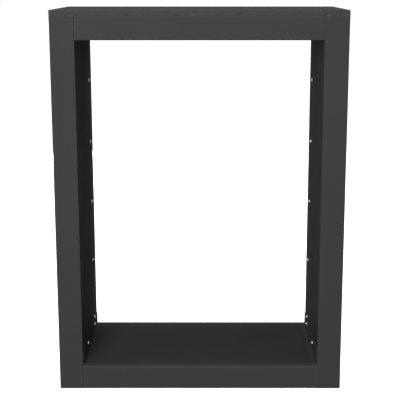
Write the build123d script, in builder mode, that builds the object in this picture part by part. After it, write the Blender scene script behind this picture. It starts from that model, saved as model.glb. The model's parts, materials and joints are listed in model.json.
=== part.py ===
"""Firewood log rack: an open rectangular frame of folded steel sheet.

Two hollow side walls stand left and right. A deck for the logs and a top beam join them, and a flat
lid covers the whole top. The rack is open at the front and at the back.

Millimetres. Origin on the floor at the centre of the footprint, +Z up, +X to the right, front at -Y.
"""

import os

from build123d import *

# Overall sizes
rack_width = 600
rack_depth = 280
rack_height = 800

# Sheet and folds
sheet = 0.8
bend_radius = 2.0

# Frame
frame_face = 50
lid_lip = 10
lid_seam = 0.5
bar_gap = 0.3
lap_gap = 0.1

# Side walls: the shell's inner wall stops short of the back and laps over the rear channel's flange
shell_setback = 34
channel_flange = 79
channel_outer_lip = 15
cap_skirt = 15

# Bars: the deck and the top beam turn up at both ends to be screwed to the walls
end_flange = 28
end_flange_relief = 5
end_flange_corner = 4
bar_return = 12

# Stiffeners under the deck
stiffener_height = 20
stiffener_crown = 30
stiffener_foot = 12
stiffener_spread = 120
stiffener_end_gap = 12

# M4 pan head screws, press nuts, lid studs and flanged nuts
shank_radius = 2.0
thread_clearance = 0.05
hole_clearance = 0.25
head_radius = 4.0
head_height = 2.6
head_rounding = 1.4
recess_length = 4.2
recess_width = 1.0
recess_depth = 1.4
screw_length = 8
nut_radius = 4.2
nut_height = 3.2
stud_length = 14
flange_nut_radius = 4.8
flange_nut_rim = 1.0
flange_nut_height = 4.5
flange_nut_flats = 7

# Screw and stud places: distances from the front, the back, the deck, the top beam and the wall's ends
wall_screw_count = 5
wall_screw_from_back = 58
wall_screw_above_flange = 6
wall_screw_below_beam = 100
bar_screw_from_front = 90
bar_screw_from_back = 66
bar_screw_rise = 19
stud_from_end = 50

# Worked-out sizes
half_width = rack_width / 2
half_depth = rack_depth / 2
bay_half = half_width - frame_face
bar_half = bay_half - bar_gap
lid_bottom = rack_height - lid_lip
wall_height = lid_bottom - lid_seam
soffit_height = lid_bottom - frame_face
flange_half_span = half_depth - end_flange_relief
cap_top = rack_height - sheet
hole_radius = shank_radius + hole_clearance

# The rear channel lies inside the wall, one sheet and a lap gap behind each face
channel_inner_x = -(bay_half + sheet + lap_gap)
channel_outer_x = -(half_width - sheet - lap_gap)
channel_flange_front = half_depth - channel_flange

# Faces that the screw heads and the nuts of the left wall seat on
wall_bay_face = -bay_half
flange_bay_face = -(bar_half - sheet)
wall_hidden_face = -(bay_half + sheet)
channel_hidden_face = channel_inner_x - sheet

wall_screw_y = half_depth - wall_screw_from_back
wall_screw_bottom = frame_face + end_flange + wall_screw_above_flange
wall_screw_top = soffit_height - wall_screw_below_beam
wall_screw_pitch = (wall_screw_top - wall_screw_bottom) / (wall_screw_count - 1)
wall_screw_places = [
    (wall_screw_y, wall_screw_bottom + step * wall_screw_pitch) for step in range(wall_screw_count)
]

bar_screw_front_y = -half_depth + bar_screw_from_front
bar_screw_back_y = half_depth - bar_screw_from_back
bar_screw_levels = {
    "deck": frame_face + bar_screw_rise,
    "beam": soffit_height + bar_screw_rise,
}
wall_middle_x = -(half_width - frame_face / 2)
stud_places = [
    (wall_middle_x, -(half_depth - stud_from_end)),
    (wall_middle_x, half_depth - stud_from_end),
]

os.makedirs("parts", exist_ok=True)


def save(piece, name):
    """Label a finished piece and write its STEP file."""
    piece.part.label = name
    export_step(piece.part, "parts/" + name + ".step")


def end_flange_profile(fold_bottom):
    """Section of a bar's left end: the sheet turns up through one fold to stand against the wall."""
    with BuildSketch(Plane.XZ) as profile:
        with BuildLine():
            FilletPolyline(
                (-bar_half + 2 * bend_radius, fold_bottom),
                (-bar_half, fold_bottom),
                (-bar_half, fold_bottom + sheet + end_flange),
                radius=bend_radius,
            )
            offset(amount=sheet, side=Side.RIGHT)
        make_face()
    return profile.sketch


def end_flange_window(fold_bottom):
    """The strip of flat sheet that the fold of a bar's end flange takes the place of."""
    with BuildSketch(Plane.XZ) as window:
        with Locations((-bar_half + bend_radius / 2, fold_bottom + sheet / 2)):
            Rectangle(bend_radius, sheet)
    return window.sketch


def bar_screw_places(level):
    """Front and back screw of a bar's end flange, as (y, z)."""
    return [(bar_screw_front_y, bar_screw_levels[level]), (bar_screw_back_y, bar_screw_levels[level])]


def screw_set(seat_x, places):
    """Pan head screws with a cross recess, heads towards the log bay, at (y, z) places."""
    with BuildPart() as screws:
        with BuildSketch(Plane.YZ.offset(seat_x)):
            with Locations(*places):
                Circle(head_radius)
        extrude(amount=head_height)
        fillet(screws.edges().group_by(Axis.X)[-1], radius=head_rounding)
        with BuildSketch(Plane.YZ.offset(seat_x)):
            with Locations(*places):
                Circle(shank_radius)
        extrude(amount=-screw_length)
        with BuildSketch(Plane.YZ.offset(seat_x + head_height)):
            with Locations(*places):
                Rectangle(recess_length, recess_width)
                Rectangle(recess_width, recess_length)
        extrude(amount=-recess_depth, mode=Mode.SUBTRACT)
    return screws


def press_nut_set(places):
    """Round press nuts on the hidden side of the left wall, at (y, z) places.

    A nut sits on the rear channel's flange where that lies behind the inner wall.
    """
    with BuildPart() as nuts:
        for y, z in places:
            seat_x = channel_hidden_face if y > channel_flange_front else wall_hidden_face
            with BuildSketch(Plane.YZ.offset(seat_x)):
                with Locations((y, z)):
                    Circle(nut_radius)
                    Circle(shank_radius + thread_clearance, mode=Mode.SUBTRACT)
            extrude(amount=-nut_height)
    return nuts


# Side wall shell: outer side, front face and inner wall folded from one sheet
with BuildPart() as left_wall_shell:
    with BuildSketch(Plane.XY):
        with BuildLine():
            FilletPolyline(
                (-half_width, half_depth),
                (-half_width, -half_depth),
                (-bay_half, -half_depth),
                (-bay_half, half_depth - shell_setback),
                radius=bend_radius,
            )
            offset(amount=sheet, side=Side.LEFT)
        make_face()
    extrude(amount=wall_height)
    with Locations(Plane.YZ.offset(wall_bay_face)):
        with Locations(*wall_screw_places, *bar_screw_places("deck"), *bar_screw_places("beam")):
            Hole(radius=hole_radius, depth=2 * sheet)

# Rear channel: closes the hollow wall at the back, with a wide flange behind the inner wall
with BuildPart() as left_rear_channel:
    with BuildSketch(Plane.XY):
        with BuildLine():
            FilletPolyline(
                (channel_inner_x, channel_flange_front),
                (channel_inner_x, half_depth),
                (channel_outer_x, half_depth),
                (channel_outer_x, half_depth - channel_outer_lip),
                radius=bend_radius,
            )
            offset(amount=sheet, side=Side.LEFT)
        make_face()
    extrude(amount=wall_height)
    with Locations(Plane.YZ.offset(channel_inner_x)):
        back_bar_screws = [bar_screw_places("deck")[1], bar_screw_places("beam")[1]]
        with Locations(*wall_screw_places, *back_bar_screws):
            Hole(radius=hole_radius, depth=2 * sheet)

# Wall caps: shallow trays that close the wall's ends and tie its two faces together
cap_outer_x = channel_outer_x + sheet + lap_gap
cap_inner_x = channel_hidden_face - lap_gap
cap_width = cap_inner_x - cap_outer_x
cap_depth = 2 * (half_depth - sheet - lap_gap)
cap_middle = (cap_outer_x + cap_inner_x) / 2

with BuildPart() as left_base_cap:
    with BuildSketch(Plane.XY):
        with Locations((cap_middle, 0)):
            Rectangle(cap_width, cap_depth)
    extrude(amount=cap_skirt)
    plate_edges = left_base_cap.edges().group_by(Axis.Z)[0]
    fillet(plate_edges + left_base_cap.edges().filter_by(Axis.Z), radius=bend_radius)
    offset(amount=-sheet, openings=left_base_cap.faces().sort_by(Axis.Z)[-1])

with BuildPart() as left_top_cap:
    with BuildSketch(Plane.XY.offset(cap_top)):
        with Locations((cap_middle, 0)):
            Rectangle(cap_width, cap_depth)
    extrude(amount=-(cap_skirt + lid_lip))
    plate_edges = left_top_cap.edges().group_by(Axis.Z)[-1]
    fillet(plate_edges + left_top_cap.edges().filter_by(Axis.Z), radius=bend_radius)
    offset(amount=-sheet, openings=left_top_cap.faces().sort_by(Axis.Z)[0])
    with Locations(Plane.XY.offset(cap_top)):
        with Locations(*stud_places):
            Hole(radius=hole_radius, depth=2 * sheet)

# Deck: front face, floor for the logs and rear face from one sheet, ends turned up
with BuildPart() as deck_tray:
    with BuildSketch(Plane.YZ):
        with BuildLine():
            FilletPolyline(
                (-half_depth + bar_return, 0),
                (-half_depth, 0),
                (-half_depth, frame_face),
                (half_depth, frame_face),
                (half_depth, 0),
                (half_depth - bar_return, 0),
                radius=bend_radius,
            )
            offset(amount=sheet, side=Side.RIGHT)
        make_face()
    extrude(amount=-bar_half)
    extrude(end_flange_window(frame_face - sheet), amount=flange_half_span, both=True, mode=Mode.SUBTRACT)
    extrude(end_flange_profile(frame_face - sheet), amount=flange_half_span, both=True)
    fillet(deck_tray.edges().filter_by(Axis.X).group_by(Axis.Z)[-1], radius=end_flange_corner)
    with Locations(Plane.YZ.offset(flange_bay_face)):
        with Locations(*bar_screw_places("deck")):
            Hole(radius=hole_radius, depth=2 * sheet)
    mirror(about=Plane.YZ)

# Hat-section stiffeners under the deck, feet against it
with BuildPart() as front_deck_stiffener:
    hat_top = frame_face - sheet - lap_gap
    hat_bottom = hat_top - stiffener_height
    crown_front = -(stiffener_spread + stiffener_crown) / 2
    crown_back = crown_front + stiffener_crown
    with BuildSketch(Plane.YZ):
        with BuildLine():
            FilletPolyline(
                (crown_front - stiffener_foot, hat_top),
                (crown_front, hat_top),
                (crown_front, hat_bottom),
                (crown_back, hat_bottom),
                (crown_back, hat_top),
                (crown_back + stiffener_foot, hat_top),
                radius=bend_radius,
            )
            offset(amount=sheet, side=Side.RIGHT)
        make_face()
    extrude(amount=bar_half - stiffener_end_gap, both=True)

with BuildPart() as rear_deck_stiffener:
    mirror(front_deck_stiffener.part, about=Plane.XZ)

# Top beam: front face, soffit and rear face from one sheet, ends turned up inside the beam
with BuildPart() as top_beam:
    with BuildSketch(Plane.YZ):
        with BuildLine():
            FilletPolyline(
                (-half_depth, wall_height),
                (-half_depth, soffit_height),
                (half_depth, soffit_height),
                (half_depth, wall_height),
                radius=bend_radius,
            )
            offset(amount=sheet, side=Side.LEFT)
        make_face()
    extrude(amount=-bar_half)
    extrude(end_flange_window(soffit_height), amount=flange_half_span, both=True, mode=Mode.SUBTRACT)
    extrude(end_flange_profile(soffit_height), amount=flange_half_span, both=True)
    with Locations(Plane.YZ.offset(flange_bay_face)):
        with Locations(*bar_screw_places("beam")):
            Hole(radius=hole_radius, depth=2 * sheet)
    mirror(about=Plane.YZ)

# Lid: flat top with a plain lip all round, dropped over the wall caps
with BuildPart() as top_lid:
    with BuildSketch(Plane.XY.offset(lid_bottom)):
        Rectangle(rack_width, rack_depth)
    extrude(amount=lid_lip)
    upper_edges = top_lid.edges().group_by(Axis.Z)[-1]
    fillet(upper_edges + top_lid.edges().filter_by(Axis.Z), radius=bend_radius)
    offset(amount=-sheet, openings=top_lid.faces().sort_by(Axis.Z)[0])

# Studs pressed into the lid, standing down through the wall caps
with BuildPart() as lid_studs:
    with BuildSketch(Plane.XY.offset(cap_top)):
        with Locations(*stud_places):
            Circle(shank_radius)
    extrude(amount=-stud_length)
    mirror(about=Plane.YZ)

with BuildPart() as lid_nuts:
    with BuildSketch(Plane.XY.offset(cap_top - sheet)):
        with Locations(*stud_places):
            Circle(flange_nut_radius)
            Circle(shank_radius + thread_clearance, mode=Mode.SUBTRACT)
    extrude(amount=-flange_nut_rim)
    with BuildSketch(Plane.XY.offset(cap_top - sheet)):
        with Locations(*stud_places):
            RegularPolygon(flange_nut_flats / 2, 6, major_radius=False)
            Circle(shank_radius + thread_clearance, mode=Mode.SUBTRACT)
    extrude(amount=-flange_nut_height)
    mirror(about=Plane.YZ)

# Screws and press nuts of the left wall
left_wall_screws = screw_set(wall_bay_face, wall_screw_places)
left_deck_screws = screw_set(flange_bay_face, bar_screw_places("deck"))
left_beam_screws = screw_set(flange_bay_face, bar_screw_places("beam"))

left_wall_nuts = press_nut_set(wall_screw_places)
left_deck_nuts = press_nut_set(bar_screw_places("deck"))
left_beam_nuts = press_nut_set(bar_screw_places("beam"))

for name, piece in {
    "deck_tray": deck_tray,
    "front_deck_stiffener": front_deck_stiffener,
    "rear_deck_stiffener": rear_deck_stiffener,
    "top_beam": top_beam,
    "top_lid": top_lid,
    "lid_studs": lid_studs,
    "lid_nuts": lid_nuts,
}.items():
    save(piece, name)

# The right wall and its fasteners are the left ones mirrored
for name, left_piece in {
    "wall_shell": left_wall_shell,
    "rear_channel": left_rear_channel,
    "base_cap": left_base_cap,
    "top_cap": left_top_cap,
    "wall_screws": left_wall_screws,
    "deck_screws": left_deck_screws,
    "beam_screws": left_beam_screws,
    "wall_nuts": left_wall_nuts,
    "deck_nuts": left_deck_nuts,
    "beam_nuts": left_beam_nuts,
}.items():
    with BuildPart() as right_piece:
        mirror(left_piece.part, about=Plane.YZ)
    save(left_piece, "left_" + name)
    save(right_piece, "right_" + name)
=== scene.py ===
"""Firewood log rack: powder-coated folded sheet steel, shown around its packed CAD frame."""

import json
import math

import bmesh
import bpy
from bpy.props import FloatProperty, FloatVectorProperty, IntProperty, PointerProperty
from bpy.types import Operator, Panel, PropertyGroup
from mathutils import Euler, Matrix, Vector


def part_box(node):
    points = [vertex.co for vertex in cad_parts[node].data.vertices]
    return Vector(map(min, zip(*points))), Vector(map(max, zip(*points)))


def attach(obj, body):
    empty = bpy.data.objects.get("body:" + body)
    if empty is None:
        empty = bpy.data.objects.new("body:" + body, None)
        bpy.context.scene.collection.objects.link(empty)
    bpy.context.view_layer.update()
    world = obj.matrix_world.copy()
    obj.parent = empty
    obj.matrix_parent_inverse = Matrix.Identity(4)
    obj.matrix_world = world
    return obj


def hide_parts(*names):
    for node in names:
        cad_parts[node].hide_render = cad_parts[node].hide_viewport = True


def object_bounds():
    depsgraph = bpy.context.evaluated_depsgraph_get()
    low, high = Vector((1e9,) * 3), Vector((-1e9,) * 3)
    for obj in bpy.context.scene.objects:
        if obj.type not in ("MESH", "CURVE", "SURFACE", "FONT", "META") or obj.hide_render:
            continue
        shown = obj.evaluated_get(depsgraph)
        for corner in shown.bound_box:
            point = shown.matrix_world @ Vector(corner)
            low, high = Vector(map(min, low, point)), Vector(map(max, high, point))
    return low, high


bl_info = {
    "name": "Firewood Log Rack",
    "version": (1, 0, 0),
    "blender": (4, 5, 0),
    "location": "3D View > Sidebar > Log Rack",
    "description": "Builds a firewood log rack of folded, powder-coated sheet steel",
    "category": "Object",
}

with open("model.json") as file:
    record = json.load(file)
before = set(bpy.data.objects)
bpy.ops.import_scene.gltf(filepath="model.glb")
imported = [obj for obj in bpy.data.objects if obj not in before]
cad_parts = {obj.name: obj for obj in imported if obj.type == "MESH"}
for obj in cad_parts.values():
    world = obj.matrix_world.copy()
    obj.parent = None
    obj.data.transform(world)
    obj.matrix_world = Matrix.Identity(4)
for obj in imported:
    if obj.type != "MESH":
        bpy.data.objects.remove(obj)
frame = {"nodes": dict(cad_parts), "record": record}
cad_low, cad_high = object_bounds()
nodes = frame["nodes"]

BODY = "root"
COAT = "Anthracite Powder Coat"
ZINC = "Bright Zinc Plate"
SIDES = ("left", "right")
SCREW_ROWS = ("wall", "deck", "beam")
NEAR = 1e-5  # how close counts as the same place, in metres


# Sizes and colours


class RackSheetSettings(PropertyGroup):
    """Sheet, folds and cut edges of the coated pieces."""

    thickness: FloatProperty(
        name="Sheet Thickness",
        description="Thickness of the coated steel sheet",
        default=0.0008,
        unit="LENGTH",
    )
    fold_radius: FloatProperty(
        name="Fold Radius",
        description="Outside radius of every fold",
        default=0.002,
        unit="LENGTH",
    )
    fold_steps: IntProperty(
        name="Fold Steps",
        description="Points round each fold",
        default=6,
        min=2,
    )
    cut_rounding: FloatProperty(
        name="Cut Rounding",
        description="Rounding that the coat gives a cut edge",
        default=0.0002,
        unit="LENGTH",
    )
    wall_setback: FloatProperty(
        name="Wall Setback",
        description="How far the inner wall's sheet stops short of the back",
        default=0.034,
        unit="LENGTH",
    )
    channel_lip: FloatProperty(
        name="Channel Lip",
        description="How far the rear channel's outer lip reaches forward",
        default=0.015,
        unit="LENGTH",
    )
    face_height: FloatProperty(
        name="Face Height",
        description="Height of the deck's front face",
        default=0.05,
        unit="LENGTH",
    )
    bar_return: FloatProperty(
        name="Bottom Return",
        description="Width of the return folded under the deck's front and rear faces",
        default=0.012,
        unit="LENGTH",
    )
    flange_relief: FloatProperty(
        name="Flange Relief",
        description="How far a turned-up end stops short of the front and the back",
        default=0.005,
        unit="LENGTH",
    )
    relief_slit: FloatProperty(
        name="Relief Slit",
        description="Width of the slit that frees a turned-up end's fold at each side",
        default=0.0004,
        unit="LENGTH",
    )
    flange_corner: FloatProperty(
        name="Flange Corner",
        description="Radius of a turned-up end's upper corners",
        default=0.004,
        unit="LENGTH",
    )
    rear_reach: FloatProperty(
        name="Rear Reach",
        description="How far the top beam's rear face runs on at each end, to shut the slot beside it",
        default=0.0011,
        unit="LENGTH",
    )
    # At other widths the turned-up ends may not weld closed: check the deck's and the beam's meshes
    # The band also sets how far the painted highlight along folds and cut edges spreads, where the coat also
    # thins
    edge_band: FloatProperty(
        name="Edge Band",
        description="Width of the band beside a fold or a cut in which the coat thins",
        default=0.005,
        unit="LENGTH",
    )


class RackScrewSettings(PropertyGroup):
    """Pan head screws with a cross recess."""

    head_radius: FloatProperty(
        name="Head Radius", description="Radius of a screw's head", default=0.004, unit="LENGTH"
    )
    head_height: FloatProperty(
        name="Head Height", description="Height of a screw's head", default=0.0026, unit="LENGTH"
    )
    shank_radius: FloatProperty(
        name="Shank Radius", description="Radius of a screw's shank", default=0.002, unit="LENGTH"
    )
    length: FloatProperty(
        name="Length", description="Length of a screw under its head", default=0.008, unit="LENGTH"
    )
    recess_length: FloatProperty(
        name="Recess Length",
        description="Length of the cross recess from arm's end to arm's end",
        default=0.0042,
        unit="LENGTH",
    )
    recess_width: FloatProperty(
        name="Recess Width",
        description="Width of each arm of the cross recess",
        default=0.001,
        unit="LENGTH",
    )
    wall_count: IntProperty(
        name="Wall Screws", description="Screws in each wall's upright row", default=5, min=2
    )
    bar_count: IntProperty(
        name="Bar Screws", description="Screws in each end of the deck or the beam", default=2, min=2
    )
    seed: IntProperty(name="Turn Seed", description="Seed for how far each screw is turned", default=7)


class RackFinishSettings(PropertyGroup):
    """Colours of the coat and the zinc."""

    coat: FloatVectorProperty(
        name="Coat",
        description="Colour of the powder coat",
        subtype="COLOR",
        size=3,
        min=0.0,
        max=1.0,
        default=(0.0275, 0.0261, 0.0268),
    )
    zinc: FloatVectorProperty(
        name="Zinc",
        description="Colour of the zinc plate",
        subtype="COLOR",
        size=3,
        min=0.0,
        max=1.0,
        default=(0.56, 0.57, 0.58),
    )


class RackStageSettings(PropertyGroup):
    """Camera, floor and lights."""

    lens: FloatProperty(name="Lens", description="Focal length in millimetres", default=88.3, min=10.0)
    eye_height: FloatProperty(
        name="Eye Height", description="Camera height above the floor", default=0.855, unit="LENGTH"
    )
    eye_distance: FloatProperty(
        name="Eye Distance",
        description="Camera distance from the rack's middle",
        default=2.114,
        unit="LENGTH",
    )
    eye_aside: FloatProperty(
        name="Eye Aside",
        description="Camera place to the right of the middle",
        default=0.017,
        unit="LENGTH",
    )
    tilt: FloatProperty(
        name="Tilt",
        description="How far the camera looks down",
        default=math.radians(11.77),
        subtype="ANGLE",
    )
    shift_across: FloatProperty(name="Shift Across", description="Sideways lens shift", default=-0.02)
    shift_up: FloatProperty(name="Shift Up", description="Upward lens shift", default=-0.035)
    ambient: FloatProperty(
        name="Ambient", description="Strength of the surround's light on the rack", default=0.28, min=0.0
    )
    key_power: FloatProperty(
        name="Key Light", description="Power of the light at the front", default=124.0, unit="POWER"
    )
    left_power: FloatProperty(
        name="Left Fill", description="Power of the light at the left", default=30.0, unit="POWER"
    )
    right_power: FloatProperty(
        name="Right Fill", description="Power of the light at the right", default=60.0, unit="POWER"
    )
    back_power: FloatProperty(
        name="Back Fill", description="Power of the light behind the rack", default=45.0, unit="POWER"
    )
    overhead: FloatProperty(
        name="Overhead Light",
        description="Strength of the light from above, in watts per square metre",
        default=3.8,
    )


# Mesh and node helpers


def piece_from_mesh(name, mesh, material, replaced):
    """Link a finished mesh as a piece that rides on the rack and stands for its CAD nodes."""
    piece = bpy.data.objects.new(name, mesh)
    bpy.context.scene.collection.objects.link(piece)
    mesh.materials.clear()
    mesh.materials.append(material)
    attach(piece, BODY)
    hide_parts(*replaced)
    return piece


def baked_mesh(source, name):
    """The evaluated object as a plain mesh. The source and its modifiers are removed."""
    depsgraph = bpy.context.evaluated_depsgraph_get()
    mesh = bpy.data.meshes.new_from_object(source.evaluated_get(depsgraph), depsgraph=depsgraph)
    mesh.name = name
    old_mesh = source.data
    bpy.data.objects.remove(source)
    if old_mesh.users == 0:
        bpy.data.meshes.remove(old_mesh)
    return mesh


def working_object(name, mesh):
    """A temporary object that carries modifiers until its mesh is baked."""
    worker = bpy.data.objects.new(name, mesh)
    bpy.context.scene.collection.objects.link(worker)
    return worker


def mark_edges(mesh, full_turn=math.radians(25)):
    """Store how sharply the surface turns at each point as the attribute that the coat reads."""
    work = bmesh.new()
    work.from_mesh(mesh)
    work.normal_update()
    layer = work.verts.layers.float.new("edge_turn")
    for vert in work.verts:
        turns = [edge.calc_face_angle(0.0) for edge in vert.link_edges]
        vert[layer] = min(1.0, max(turns, default=0.0) / full_turn)
    work.to_mesh(mesh)
    work.free()


def smooth_by_angle(mesh, limit=math.radians(35)):
    """Shade the folds round and keep true corners sharp."""
    mesh.shade_smooth()
    mesh.set_sharp_from_angle(angle=limit)


class NodeTree:
    """A node group with short calls for adding nodes, inputs and links."""

    def __init__(self, name):
        self.tree = bpy.data.node_groups.new(name, "GeometryNodeTree")
        self.tree.interface.new_socket(name="Geometry", in_out="INPUT", socket_type="NodeSocketGeometry")
        self.tree.interface.new_socket(name="Geometry", in_out="OUTPUT", socket_type="NodeSocketGeometry")
        self.source = self.tree.nodes.new("NodeGroupInput")
        self.sink = self.tree.nodes.new("NodeGroupOutput")
        self.identifiers = {}

    def input(self, name, kind):
        socket = self.tree.interface.new_socket(name=name, in_out="INPUT", socket_type="NodeSocket" + kind)
        self.identifiers[name] = socket.identifier
        return self.source.outputs[name]

    def math(self, operation, first, second):
        made = self.tree.nodes.new("ShaderNodeMath")
        made.operation = operation
        self.feed(made.inputs[0], first)
        self.feed(made.inputs[1], second)
        return made.outputs[0]

    def node(self, kind, settings=None, **sockets):
        made = self.tree.nodes.new(kind)
        for key, value in (settings or {}).items():
            setattr(made, key, value)
        for key, value in sockets.items():
            self.feed(made.inputs[key.replace("_", " ")], value)
        return made

    def feed(self, socket, value):
        if isinstance(value, bpy.types.NodeSocket):
            self.tree.links.new(value, socket)
        else:
            socket.default_value = value

    def finish(self, geometry, material):
        """End the tree in Realize Instances and Set Material."""
        whole = self.node("GeometryNodeRealizeInstances", Geometry=geometry)
        painted = self.node("GeometryNodeSetMaterial", Geometry=whole.outputs[0], Material=material)
        self.feed(self.sink.inputs[0], painted.outputs[0])

    def apply(self, worker, **values):
        """Add the tree to an object as a modifier, with its inputs set by socket identifier."""
        modifier = worker.modifiers.new(self.tree.name, "NODES")
        modifier.node_group = self.tree
        for name, value in values.items():
            modifier[self.identifiers[name.replace("_", " ")]] = value
        return modifier


def folded_sheet_tree():
    """A sheet folded along its base mesh's line, seen in section, and run out to a length."""
    made = NodeTree("Folded Sheet")
    thickness = made.input("Thickness", "Float")
    radius = made.input("Fold Radius", "Float")
    steps = made.input("Fold Steps", "Int")
    length = made.input("Length", "Float")
    band = made.input("Edge Band", "Float")
    material = made.input("Material", "Material")

    path = made.node("GeometryNodeMeshToCurve", Mesh=made.source.outputs["Geometry"])
    folds = made.node(
        "GeometryNodeFilletCurve", {"mode": "POLY"}, Curve=path.outputs[0], Radius=radius, Count=steps
    )
    near_side = made.node("ShaderNodeCombineXYZ", X=made.math("MULTIPLY", thickness, -0.5))
    far_side = made.node("ShaderNodeCombineXYZ", X=made.math("MULTIPLY", thickness, 0.5))
    across = made.node(
        "GeometryNodeCurvePrimitiveLine", Start=near_side.outputs[0], End=far_side.outputs[0]
    )
    ribbon = made.node("GeometryNodeCurveToMesh", Curve=folds.outputs[0], Profile_Curve=across.outputs[0])
    section = made.node("GeometryNodeMergeByDistance", Geometry=ribbon.outputs[0], Distance=1e-6)

    # An edge band, the long middle run and another edge band
    middle = made.math("SUBTRACT", length, made.math("MULTIPLY", band, 2.0))
    run = section.outputs[0]
    end_faces = True
    for distance in (band, middle, band):
        rise = made.node("ShaderNodeCombineXYZ", Z=distance)
        extrude = made.node(
            "GeometryNodeExtrudeMesh",
            {"mode": "FACES"},
            Mesh=run,
            Selection=end_faces,
            Offset=rise.outputs[0],
            Individual=False,
        )
        run = extrude.outputs["Mesh"]
        end_faces = extrude.outputs["Top"]

    # Extruding carries the first section away, so its turned-over copy closes the near end
    near_end = made.node("GeometryNodeFlipFaces", Mesh=section.outputs[0])
    joined = made.node("GeometryNodeJoinGeometry")
    made.feed(joined.inputs[0], run)
    made.feed(joined.inputs[0], near_end.outputs[0])
    closed = made.node("GeometryNodeMergeByDistance", Geometry=joined.outputs[0], Distance=1e-6)
    made.finish(closed.outputs[0], material)
    return made


def screw_row_tree():
    """Like screws in a straight row, each turned by its own amount as a driver leaves them."""
    made = NodeTree("Screw Row")
    start = made.input("Start", "Vector")
    end = made.input("End", "Vector")
    count = made.input("Count", "Int")
    screw = made.input("Screw", "Object")
    facing = made.input("Facing", "Vector")
    seed = made.input("Turn Seed", "Int")
    material = made.input("Material", "Material")

    row = made.node(
        "GeometryNodeMeshLine", {"mode": "END_POINTS"}, Count=count, Start_Location=start, Offset=end
    )
    pattern = made.node("GeometryNodeObjectInfo", Object=screw)
    aim = made.node("FunctionNodeEulerToRotation", Euler=facing)
    placed = made.node(
        "GeometryNodeInstanceOnPoints",
        Points=row.outputs["Mesh"],
        Instance=pattern.outputs["Geometry"],
        Rotation=aim.outputs[0],
    )
    turn = made.node("FunctionNodeRandomValue", {"data_type": "FLOAT"}, Seed=seed)
    turn.inputs[3].default_value = math.tau / 4
    about_axis = made.node("ShaderNodeCombineXYZ", Z=turn.outputs[1])
    turn_rotation = made.node("FunctionNodeEulerToRotation", Euler=about_axis.outputs[0])
    turned = made.node(
        "GeometryNodeRotateInstances",
        Instances=placed.outputs[0],
        Rotation=turn_rotation.outputs[0],
        Local_Space=True,
    )
    made.finish(turned.outputs[0], material)
    return made


# Materials


class Surface:
    """A material's node tree with short calls."""

    def __init__(self, name):
        self.material = bpy.data.materials.new(name)
        self.material.use_nodes = True
        self.tree = self.material.node_tree
        self.tree.nodes.clear()
        output = self.tree.nodes.new("ShaderNodeOutputMaterial")
        self.shader = self.tree.nodes.new("ShaderNodeBsdfPrincipled")
        self.tree.links.new(self.shader.outputs[0], output.inputs["Surface"])
        self.place = self.tree.nodes.new("ShaderNodeTexCoord").outputs["Object"]

    def noise(self, scale, detail=2.0, roughness=0.5):
        node = self.tree.nodes.new("ShaderNodeTexNoise")
        self.tree.links.new(self.place, node.inputs["Vector"])
        node.inputs["Scale"].default_value = scale
        node.inputs["Detail"].default_value = detail
        node.inputs["Roughness"].default_value = roughness
        return node.outputs["Fac"]

    def remap(self, value, low, high, out_low, out_high):
        node = self.tree.nodes.new("ShaderNodeMapRange")
        node.interpolation_type = "SMOOTHSTEP"
        self.tree.links.new(value, node.inputs["Value"])
        limits = {"From Min": low, "From Max": high, "To Min": out_low, "To Max": out_high}
        for name, number in limits.items():
            node.inputs[name].default_value = number
        return node.outputs["Result"]

    def math(self, operation, first, second):
        node = self.tree.nodes.new("ShaderNodeMath")
        node.operation = operation
        for socket, value in zip(node.inputs, (first, second)):
            if isinstance(value, bpy.types.NodeSocket):
                self.tree.links.new(value, socket)
            else:
                socket.default_value = value
        return node.outputs[0]

    def blend(self, factor, first, second):
        node = self.tree.nodes.new("ShaderNodeMix")
        node.data_type = "RGBA"
        self.tree.links.new(factor, node.inputs[0])
        for socket, value in ((node.inputs[6], first), (node.inputs[7], second)):
            if isinstance(value, bpy.types.NodeSocket):
                self.tree.links.new(value, socket)
            else:
                socket.default_value = value
        return node.outputs[2]

    def attribute(self, name):
        node = self.tree.nodes.new("ShaderNodeAttribute")
        node.attribute_name = name
        return node.outputs["Fac"]

    def bump(self, height, distance, strength=1.0, under=None):
        node = self.tree.nodes.new("ShaderNodeBump")
        node.inputs["Strength"].default_value = strength
        node.inputs["Distance"].default_value = distance
        self.tree.links.new(height, node.inputs["Height"])
        if under is not None:
            self.tree.links.new(under, node.inputs["Normal"])
        return node.outputs["Normal"]

    def set(self, **sockets):
        for name, value in sockets.items():
            socket = self.shader.inputs[name.replace("_", " ")]
            if isinstance(value, bpy.types.NodeSocket):
                self.tree.links.new(value, socket)
            else:
                socket.default_value = value


def shaded(colour, factor):
    """A colour made lighter or darker, with alpha."""
    return tuple(min(1.0, channel * factor) for channel in colour) + (1.0,)


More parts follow.
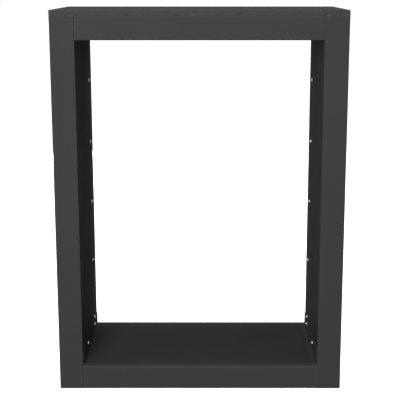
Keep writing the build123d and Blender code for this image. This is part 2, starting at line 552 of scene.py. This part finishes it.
def powder_coat_material(colour):
    """Fine-textured matt powder coat: pebbled, a little uneven, thinner along edges, with a painted highlight
    that makes folds and cut edges lighter.
    """
    coat = Surface(COAT)
    patches = coat.noise(7.0, detail=3.0)
    pebble = coat.noise(1500.0, detail=2.0, roughness=0.6)
    edge = coat.remap(coat.attribute("edge_turn"), 0.42, 0.95, 0.0, 1.0)

    patchy = coat.remap(patches, 0.3, 0.7, 0.0, 1.0)
    base = coat.blend(patchy, shaded(colour, 0.97), shaded(colour, 1.03))
    speck = coat.remap(pebble, 0.55, 0.75, 0.0, 0.35)
    base = coat.blend(speck, base, shaded(colour, 1.5))
    # Painted highlight: folds and cut edges are made up to 1.7 times lighter to stand for light catching
    # them, along with the thinner, rubbed coat there, and a little glossier
    edge_highlight_and_wear = coat.math("MULTIPLY", edge, coat.remap(coat.noise(160.0), 0.35, 0.65, 0.25, 0.8))
    base = coat.blend(edge_highlight_and_wear, base, shaded(colour, 1.7))

    sheen_patches = coat.remap(coat.noise(18.0, detail=4.0), 0.3, 0.7, 0.72, 0.78)
    roughness = coat.math("SUBTRACT", sheen_patches, coat.math("MULTIPLY", edge_highlight_and_wear, 0.12))
    flatness = coat.bump(coat.noise(5.0, detail=1.0), distance=0.0002)
    skin = coat.bump(pebble, distance=0.00006, strength=0.8, under=flatness)
    coat.set(Base_Color=base, Roughness=roughness, Normal=skin, Specular_IOR_Level=0.05)
    return coat.material


def zinc_material(colour):
    """Bright zinc plate with faint tool marks and a slightly clouded passivation."""
    zinc = Surface(ZINC)
    cloud = zinc.noise(420.0, detail=3.0)
    scuff = zinc.noise(2600.0, detail=2.0)
    cloudy = zinc.remap(cloud, 0.3, 0.7, 0.0, 1.0)
    base = zinc.blend(cloudy, shaded(colour, 0.86), shaded(colour, 1.05))
    roughness = zinc.remap(scuff, 0.3, 0.7, 0.36, 0.48)
    skin = zinc.bump(scuff, distance=0.00002, strength=0.6)
    zinc.set(Base_Color=base, Metallic=1.0, Roughness=roughness, Normal=skin)
    return zinc.material


def coat_and_zinc():
    """The two finishes, made once and then shared."""
    finish = bpy.context.scene.rack_finish
    coat = bpy.data.materials.get(COAT) or powder_coat_material(finish.coat)
    zinc = bpy.data.materials.get(ZINC) or zinc_material(finish.zinc)
    return coat, zinc


# Folded pieces


def banded_line(corners, radius, band):
    """The corners of a fold line with a point added a band away from each fold and each end."""
    points = [corners[0]]
    last = len(corners) - 2
    for index, (start, end) in enumerate(zip(corners, corners[1:])):
        along = (end - start).normalized()
        length = (end - start).length
        near = band if index == 0 else radius + band
        far = band if index == last else radius + band
        if length > near + far:
            points += [start + along * near, end - along * far]
        points.append(end)
    return points


def folded_mesh(name, corners, length, turn):
    """One folded sheet: its line of corners in section, run out to a length, then turned into place."""
    sheet = bpy.context.scene.rack_sheet
    coat, _ = coat_and_zinc()
    middle_radius = sheet.fold_radius - sheet.thickness / 2
    points = banded_line([Vector(corner) for corner in corners], middle_radius, sheet.edge_band)
    line = bpy.data.meshes.new(name + " Line")
    line.from_pydata(
        [(point.x, point.y, 0.0) for point in points],
        [(index, index + 1) for index in range(len(points) - 1)],
        [],
    )
    worker = working_object(name + " Line", line)
    tree = folded_sheet_tree()
    tree.apply(
        worker,
        Thickness=sheet.thickness,
        Fold_Radius=middle_radius,
        Fold_Steps=sheet.fold_steps,
        Length=length,
        Edge_Band=sheet.edge_band,
        Material=coat,
    )
    mesh = baked_mesh(worker, name)
    mesh.transform(turn)
    return mesh


def finished_sheet(name, mesh):
    """Round a sheet's cut edges, turn its faces outwards and store the attribute that the coat reads."""
    work = bmesh.new()
    work.from_mesh(mesh)
    bmesh.ops.remove_doubles(work, verts=work.verts, dist=2e-5)
    bmesh.ops.recalc_face_normals(work, faces=work.faces)
    work.to_mesh(mesh)
    work.free()
    worker = working_object(name, mesh)
    rounding = worker.modifiers.new("Cut Rounding", "BEVEL")
    rounding.width = bpy.context.scene.rack_sheet.cut_rounding
    rounding.segments = 2
    rounding.use_clamp_overlap = False
    rounding.limit_method = "ANGLE"
    rounding.angle_limit = math.radians(50)
    mesh = baked_mesh(worker, name)
    work = bmesh.new()
    work.from_mesh(mesh)
    bmesh.ops.dissolve_degenerate(work, dist=1e-6, edges=work.edges)
    work.to_mesh(mesh)
    work.free()
    mark_edges(mesh)
    smooth_by_angle(mesh)
    return mesh


# How a section's own axes lie in the rack: upright, along the width, along the depth
UPRIGHT = Matrix.Identity(4)
ALONG_WIDTH = Matrix(((0, 0, 1, 0), (1, 0, 0, 0), (0, 1, 0, 0), (0, 0, 0, 1)))
ALONG_DEPTH = Matrix(((1, 0, 0, 0), (0, 0, -1, 0), (0, 1, 0, 0), (0, 0, 0, 1)))


def side_faces(node):
    """The x of a wall piece's outer and inner faces, whichever side it stands on."""
    low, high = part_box(node)
    return (low.x, high.x) if high.x < 0 else (high.x, low.x)


class RACK_OT_wall_shells(Operator):
    """Fold each side wall's outer side, front face and inner wall from one sheet"""

    bl_idname = "rack.wall_shells"
    bl_label = "Wall Shells"

    def execute(self, context):
        sheet = context.scene.rack_sheet
        coat, _ = coat_and_zinc()
        half = sheet.thickness / 2
        for side in SIDES:
            node = side + "_wall_shell"
            low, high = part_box(node)
            outer, inner = side_faces(node)
            inward = math.copysign(half, inner - outer)
            corners = [
                (outer + inward, high.y),
                (outer + inward, low.y + half),
                (inner - inward, low.y + half),
                (inner - inward, high.y - sheet.wall_setback),
            ]
            mesh = folded_mesh(node + "_sheet", corners, high.z - low.z, UPRIGHT)
            mesh = finished_sheet(node + "_sheet", mesh)
            piece_from_mesh(node + "_sheet", mesh, coat, [node])
        return {"FINISHED"}


class RACK_OT_rear_channels(Operator):
    """Fold the channels that close the walls at the back"""

    bl_idname = "rack.rear_channels"
    bl_label = "Rear Channels"

    def execute(self, context):
        sheet = context.scene.rack_sheet
        coat, _ = coat_and_zinc()
        half = sheet.thickness / 2
        for side in SIDES:
            node = side + "_rear_channel"
            low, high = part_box(node)
            outer, inner = side_faces(node)
            inward = math.copysign(half, inner - outer)
            corners = [
                (inner - inward, low.y),
                (inner - inward, high.y - half),
                (outer + inward, high.y - half),
                (outer + inward, high.y - sheet.channel_lip),
            ]
            mesh = folded_mesh(node + "_sheet", corners, high.z - low.z, UPRIGHT)
            mesh = finished_sheet(node + "_sheet", mesh)
            piece_from_mesh(node + "_sheet", mesh, coat, [node])
        return {"FINISHED"}


def combined(mesh, other, operation):
    """Cut the other mesh out of this one, or weld it on. Both are used up."""
    worker = working_object(mesh.name, mesh)
    tool = working_object(other.name, other)
    change = worker.modifiers.new("Combine", "BOOLEAN")
    change.operation = operation
    change.solver = "EXACT"
    change.object = tool
    result = baked_mesh(worker, mesh.name)
    bpy.data.objects.remove(tool)
    bpy.data.meshes.remove(other)
    return result


def cross_cut(mesh, place, normal):
    """Add points where a plane crosses a mesh, so that an edge band ends there."""
    work = bmesh.new()
    work.from_mesh(mesh)
    everything = list(work.verts) + list(work.edges) + list(work.faces)
    bmesh.ops.bisect_plane(work, geom=everything, dist=1e-6, plane_co=place, plane_no=normal)
    work.to_mesh(mesh)
    work.free()


def box_mesh(name, low, high):
    work = bmesh.new()
    bmesh.ops.create_cube(work, size=1.0)
    size = Matrix.Diagonal((*(high - low), 1.0))
    bmesh.ops.transform(work, matrix=Matrix.Translation((low + high) / 2) @ size, verts=work.verts)
    mesh = bpy.data.meshes.new(name)
    work.to_mesh(mesh)
    work.free()
    return mesh


def turned_up_end(run, side, fold_level, top_level, end_x, span):
    """Cut the flat end strip out of a bar's run and weld in one that turns up through a fold."""
    sheet = bpy.context.scene.rack_sheet
    half = sheet.thickness / 2
    strip = sheet.fold_radius + sheet.edge_band
    clear = Vector((strip, 0.0, sheet.thickness))
    edge = Vector((end_x, 0.0, fold_level + half))
    reach = Vector((0.0, span / 2, 0.0))
    slit = Vector((0.0, sheet.relief_slit, 0.0))
    window = box_mesh("Window", edge - clear - reach - slit, edge + clear + reach + slit)
    run = combined(run, window, "DIFFERENCE")

    overlap = sheet.thickness
    corners = [
        (end_x - side * (strip + overlap), fold_level + half),
        (end_x - side * half, fold_level + half),
        (end_x - side * half, top_level),
    ]
    shift = Matrix.Translation(reach)
    flange = folded_mesh("Flange", corners, span, shift @ ALONG_DEPTH)
    work = bmesh.new()
    work.from_mesh(flange)
    at_corner = {
        vert
        for vert in work.verts
        if vert.co.z > top_level - NEAR and abs(abs(vert.co.y) - span / 2) < NEAR
    }
    upper_corners = [edge for edge in work.edges if at_corner.issuperset(edge.verts)]
    bmesh.ops.bevel(
        work, geom=upper_corners, offset=sheet.flange_corner, segments=5, affect="EDGES", profile=0.5
    )
    work.to_mesh(flange)
    work.free()
    bar = combined(run, flange, "UNION")
    band_end = Vector((end_x - side * (strip + sheet.edge_band), 0.0, 0.0))
    cross_cut(bar, band_end, Vector((1.0, 0.0, 0.0)))
    # The two ends between them add the two cuts that run along the bar
    band_side = Vector((0.0, side * (span / 2 - sheet.edge_band), 0.0))
    cross_cut(bar, band_side, Vector((0.0, 1.0, 0.0)))
    return bar


class RACK_OT_bars(Operator):
    """Fold the log deck with its front and rear faces, and the top beam, with their turned-up ends"""

    bl_idname = "rack.bars"
    bl_label = "Deck and Top Beam"

    def execute(self, context):
        sheet = context.scene.rack_sheet
        coat, _ = coat_and_zinc()
        half = sheet.thickness / 2
        deck_low, deck_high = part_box("deck_tray")
        beam_low, beam_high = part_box("top_beam")
        front, back = deck_low.y + half, deck_high.y - half
        deck_top = deck_low.z + sheet.face_height
        deck_level = deck_top - half
        soffit_level = beam_low.z + half
        deck_corners = [
            (deck_low.y + sheet.bar_return, deck_low.z + half),
            (front, deck_low.z + half),
            (front, deck_level),
            (back, deck_level),
            (back, deck_low.z + half),
            (deck_high.y - sheet.bar_return, deck_low.z + half),
        ]
        beam_corners = [
            (front, beam_high.z),
            (front, soffit_level),
            (back, soffit_level),
            (back, beam_high.z),
        ]
        flange_height = deck_high.z - deck_top
        span = (deck_high.y - deck_low.y) - 2 * sheet.flange_relief
        for node, corners, fold_level in (
            ("deck_tray", deck_corners, deck_top - sheet.thickness),
            ("top_beam", beam_corners, beam_low.z),
        ):
            low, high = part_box(node)
            width = high.x - low.x
            shift = Matrix.Translation((low.x, 0.0, 0.0))
            run = folded_mesh(node + "_run", corners, width, shift @ ALONG_WIDTH)
            if node == "top_beam":
                # The rear face alone runs on past the turned-up ends
                for vert in run.vertices:
                    if vert.co.y > 0.0 and abs(vert.co.x) > high.x - NEAR:
                        vert.co.x += math.copysign(sheet.rear_reach, vert.co.x)
            top_level = fold_level + sheet.thickness + flange_height
            for side, end_x in ((-1, low.x), (1, high.x)):
                run = turned_up_end(run, side, fold_level, top_level, end_x, span)
            mesh = finished_sheet(node + "_sheet", run)
            piece_from_mesh(node + "_sheet", mesh, coat, [node])
        return {"FINISHED"}


class RACK_OT_lid(Operator):
    """Press the lid: a flat top with a folded lip all round"""

    bl_idname = "rack.lid"
    bl_label = "Lid"

    def execute(self, context):
        sheet = context.scene.rack_sheet
        coat, _ = coat_and_zinc()
        low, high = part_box("top_lid")
        work = bmesh.new()
        bmesh.ops.create_cube(work, size=1.0)
        centre = Matrix.Translation((low + high) / 2)
        size = Matrix.Diagonal((*(high - low), 1.0))
        bmesh.ops.transform(work, matrix=centre @ size, verts=work.verts)
        under = min(work.faces, key=lambda face: face.calc_center_median().z)
        bmesh.ops.delete(work, geom=[under], context="FACES_ONLY")
        folds = [edge for edge in work.edges if not edge.is_boundary]
        bmesh.ops.bevel(
            work, geom=folds, offset=sheet.fold_radius, segments=sheet.fold_steps, affect="EDGES", profile=0.5
        )
        top = max(work.faces, key=lambda face: face.calc_area())
        bmesh.ops.inset_individual(work, faces=[top], thickness=sheet.edge_band, use_even_offset=True)
        bmesh.ops.recalc_face_normals(work, faces=work.faces)
        shell = bpy.data.meshes.new("top_lid_sheet")
        work.to_mesh(shell)
        work.free()
        worker = working_object("top_lid_sheet", shell)
        thickness = worker.modifiers.new("Sheet", "SOLIDIFY")
        thickness.thickness = sheet.thickness
        thickness.offset = -1.0
        mesh = finished_sheet("top_lid_sheet", baked_mesh(worker, "top_lid_shell"))
        piece_from_mesh("top_lid_sheet", mesh, coat, ["top_lid"])
        return {"FINISHED"}


# Screws


def revolved(profile, steps):
    """A closed mesh turned about Z from (radius, height) points that start and end on the axis."""
    work = bmesh.new()
    rings = []
    for radius, height in profile:
        if radius == 0.0:
            rings.append([work.verts.new((0.0, 0.0, height))])
            continue
        turns = [math.tau * step / steps for step in range(steps)]
        around = [(radius * math.cos(turn), radius * math.sin(turn), height) for turn in turns]
        rings.append([work.verts.new(place) for place in around])
    for lower, upper in zip(rings, rings[1:]):
        for step in range(steps):
            ahead = (step + 1) % steps
            if len(lower) == 1:
                work.faces.new((lower[0], upper[ahead], upper[step]))
            elif len(upper) == 1:
                work.faces.new((lower[step], lower[ahead], upper[0]))
            else:
                work.faces.new((lower[step], lower[ahead], upper[ahead], upper[step]))
    bmesh.ops.recalc_face_normals(work, faces=work.faces)
    return work


def cross_ring(work, length, width, height):
    """Twelve points round a cross with arms of a length and width, anticlockwise at a height."""
    reach, half = length / 2, width / 2
    arm = [(reach, -half), (reach, half), (half, half)]
    ring = []
    for quarter in range(4):
        turn = Matrix.Rotation(math.tau / 4 * quarter, 3, "Z")
        ring += [work.verts.new(turn @ Vector((x, y, height))) for x, y in arm]
    return ring


def pan_head_screw():
    """One pan head screw at the origin, its head upwards, with a tapered cross recess."""
    screw = bpy.context.scene.rack_screws
    rim = 0.2 * screw.head_height
    crown = screw.head_height - rim
    head_steps = 12
    profile = [
        (0.0, -screw.length),
        (0.75 * screw.shank_radius, -screw.length),
        (screw.shank_radius, -screw.length + 0.25 * screw.shank_radius),
        (screw.shank_radius, 0.0),
        (screw.head_radius, 0.0),
    ]
    for step in range(head_steps):
        turn = math.tau / 4 * step / head_steps
        profile.append((screw.head_radius * math.cos(turn) ** 0.5, rim + crown * math.sin(turn)))
    profile.append((0.0, screw.head_height))
    work = revolved(profile, 40)
    head = bpy.data.meshes.new("Pan Head")
    work.to_mesh(head)
    work.free()

    # The recess is a cross that narrows from above the crown to its floor
    cutter = bmesh.new()
    floor_length, floor_width = 0.55 * screw.recess_length, 0.7 * screw.recess_width
    floor_height, mouth_height = 0.4 * screw.head_height, 1.1 * screw.head_height
    floor = cross_ring(cutter, floor_length, floor_width, floor_height)
    mouth = cross_ring(cutter, screw.recess_length, screw.recess_width, mouth_height)
    cutter.faces.new(reversed(floor))
    cutter.faces.new(mouth)
    for index in range(len(floor)):
        ahead = (index + 1) % len(floor)
        cutter.faces.new((floor[index], floor[ahead], mouth[ahead], mouth[index]))
    recess = bpy.data.meshes.new("Cross Recess")
    cutter.to_mesh(recess)
    cutter.free()

    tool = working_object("Cross Recess", recess)
    worker = working_object("Pan Head Screw", head)
    cut = worker.modifiers.new("Recess", "BOOLEAN")
    cut.operation = "DIFFERENCE"
    cut.solver = "EXACT"
    cut.object = tool
    mesh = baked_mesh(worker, "Pan Head Screw")
    bpy.data.objects.remove(tool)
    smooth_by_angle(mesh)
    return working_object("Pan Head Screw", mesh)


class RACK_OT_screws(Operator):
    """Drive the rows of pan head screws into the walls, the deck and the top beam"""

    bl_idname = "rack.screws"
    bl_label = "Screws"

    def execute(self, context):
        screw = context.scene.rack_screws
        _, zinc = coat_and_zinc()
        pattern = pan_head_screw()
        tree = screw_row_tree()
        for number, (side, row) in enumerate((side, row) for side in SIDES for row in SCREW_ROWS):
            node = f"{side}_{row}_screws"
            low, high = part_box(node)
            towards_bay = 1 if high.x < 0 else -1
            head_face = high.x if towards_bay > 0 else low.x
            seat = head_face - towards_bay * screw.head_height
            first = Vector((seat, low.y + screw.head_radius, low.z + screw.head_radius))
            final = Vector((seat, high.y - screw.head_radius, high.z - screw.head_radius))
            worker = working_object(node + "_row", bpy.data.meshes.new(node + "_row"))
            tree.apply(
                worker,
                Start=first,
                End=final,
                Count=screw.wall_count if row == "wall" else screw.bar_count,
                Screw=pattern,
                Facing=Vector((0.0, towards_bay * math.tau / 4, 0.0)),
                Turn_Seed=screw.seed + number,
                Material=zinc,
            )
            mesh = baked_mesh(worker, node + "_row")
            piece_from_mesh(node + "_row", mesh, zinc, [node])
        pattern_mesh = pattern.data
        bpy.data.objects.remove(pattern)
        bpy.data.meshes.remove(pattern_mesh)
        return {"FINISHED"}


class RACK_OT_hidden_pieces(Operator):
    """Give the caps, stiffeners, nuts and studs inside the rack their finishes"""

    bl_idname = "rack.hidden_pieces"
    bl_label = "Hidden Pieces"

    def execute(self, context):
        coat, zinc = coat_and_zinc()
        finishes = {"powder_coat": coat, "zinc_screws": zinc, "zinc_nuts": zinc}
        for part in frame["record"]["subparts"]:
            piece = nodes[part["node"]]
            piece.data.materials.clear()
            piece.data.materials.append(finishes[part["material_slot"]])
        return {"FINISHED"}


# Stage


def soft_light(name, kind, place, target, size, strength):
    """An area light in watts, or a broad sun in watts per square metre, turned to its target."""
    light = bpy.data.lights.new(name, kind)
    if kind == "AREA":
        light.shape = "DISK"
        light.size = size
    else:
        light.angle = size
    light.energy = strength
    lamp = bpy.data.objects.new(name, light)
    bpy.context.scene.collection.objects.link(lamp)
    lamp.visible_camera = False
    lamp.location = place
    lamp.rotation_euler = (Vector(target) - Vector(place)).to_track_quat("-Z", "Y").to_euler()
    return lamp


def studio_world(ambient):
    """A surround that is seen as plain white and gives a gentler, even light."""
    world = bpy.data.worlds.new("Studio")
    world.use_nodes = True
    tree = world.node_tree
    tree.nodes.clear()
    output = tree.nodes.new("ShaderNodeOutputWorld")
    choice = tree.nodes.new("ShaderNodeMixShader")
    path = tree.nodes.new("ShaderNodeLightPath")
    tree.links.new(path.outputs["Is Camera Ray"], choice.inputs[0])
    for socket, strength in zip(choice.inputs[1:], (ambient, 1.0)):
        background = tree.nodes.new("ShaderNodeBackground")
        background.inputs["Color"].default_value = (1.0, 1.0, 1.0, 1.0)
        background.inputs["Strength"].default_value = strength
        tree.links.new(background.outputs[0], socket)
    tree.links.new(choice.outputs[0], output.inputs["Surface"])
    bpy.context.scene.world = world


def pale_floor(base):
    """A plain pale floor under the rack."""
    work = bmesh.new()
    bmesh.ops.create_grid(work, x_segments=1, y_segments=1, size=20.0)
    bmesh.ops.translate(work, vec=(0.0, 0.0, base - 0.0002), verts=work.verts)
    mesh = bpy.data.meshes.new("Pale Floor")
    work.to_mesh(mesh)
    work.free()
    floor = bpy.data.objects.new("Pale Floor", mesh)
    bpy.context.scene.collection.objects.link(floor)
    pale = Surface("Pale Floor")
    pale.set(Base_Color=(0.9, 0.9, 0.9, 1.0), Roughness=0.9, Specular_IOR_Level=0.1)
    mesh.materials.append(pale.material)
    floor.visible_glossy = False
    floor.visible_diffuse = False
    return floor


class RACK_OT_stage(Operator):
    """Set the pale floor, the soft studio light and the camera"""

    bl_idname = "rack.stage"
    bl_label = "Stage"

    def execute(self, context):
        scene = context.scene
        stage = scene.rack_stage
        scene.view_settings.view_transform = "Standard"
        pale_floor(cad_low.z)
        middle = (cad_low + cad_high) / 2

        studio_world(stage.ambient)
        for name, kind, place, size, strength in (
            ("Key", "AREA", (-0.45, -2.6, 1.35), 1.4, stage.key_power),
            ("Left Fill", "AREA", (-2.6, 0.2, 1.0), 1.0, stage.left_power),
            ("Right Fill", "AREA", (2.6, 0.2, 1.0), 1.0, stage.right_power),
            ("Back Fill", "AREA", (-0.4, 2.9, 0.4), 1.0, stage.back_power),
            ("Overhead", "SUN", (0.0, 0.0, 3.0), math.radians(4), stage.overhead),
        ):
            lamp = soft_light(name, kind, place, middle, size, strength)
            # The light behind the rack would glare off the inner walls and the deck
            lamp.visible_glossy = name != "Back Fill"

        camera_data = bpy.data.cameras.new("Camera")
        camera_data.lens = stage.lens
        camera_data.sensor_width = 36.0
        camera_data.shift_x = stage.shift_across
        camera_data.shift_y = stage.shift_up
        camera = bpy.data.objects.new("Camera", camera_data)
        scene.collection.objects.link(camera)
        camera.location = (stage.eye_aside, -stage.eye_distance, stage.eye_height)
        camera.rotation_euler = Euler((math.tau / 4 - stage.tilt, 0.0, 0.0))
        scene.camera = camera
        return {"FINISHED"}


# Panel, registration and the run


BUILD_ORDER = (
    RACK_OT_hidden_pieces,
    RACK_OT_wall_shells,
    RACK_OT_rear_channels,
    RACK_OT_bars,
    RACK_OT_lid,
    RACK_OT_screws,
    RACK_OT_stage,
)


class RACK_PT_panel(Panel):
    """Lists the rack's pieces and sizes"""

    bl_idname = "RACK_PT_panel"
    bl_label = "Firewood Log Rack"
    bl_space_type = "VIEW_3D"
    bl_region_type = "UI"
    bl_category = "Log Rack"

    def draw(self, context):
        for operator in BUILD_ORDER:
            self.layout.operator(operator.bl_idname)
        for name, settings in SETTINGS.items():
            box = self.layout.box()
            box.label(text=settings.__doc__.rstrip("."))
            group = getattr(context.scene, name)
            for prop in settings.__annotations__:
                box.prop(group, prop)


SETTINGS = {
    "rack_sheet": RackSheetSettings,
    "rack_screws": RackScrewSettings,
    "rack_finish": RackFinishSettings,
    "rack_stage": RackStageSettings,
}
CLASSES = (*SETTINGS.values(), *BUILD_ORDER, RACK_PT_panel)


def register():
    for each in CLASSES:
        bpy.utils.register_class(each)
    for name, settings in SETTINGS.items():
        setattr(bpy.types.Scene, name, PointerProperty(type=settings))


def unregister():
    for name in SETTINGS:
        delattr(bpy.types.Scene, name)
    for each in reversed(CLASSES):
        bpy.utils.unregister_class(each)


def main():
    register()
    bpy.ops.rack.hidden_pieces()
    bpy.ops.rack.wall_shells()
    bpy.ops.rack.rear_channels()
    bpy.ops.rack.bars()
    bpy.ops.rack.lid()
    bpy.ops.rack.screws()
    bpy.ops.rack.stage()


if __name__ == "__main__":
    main()
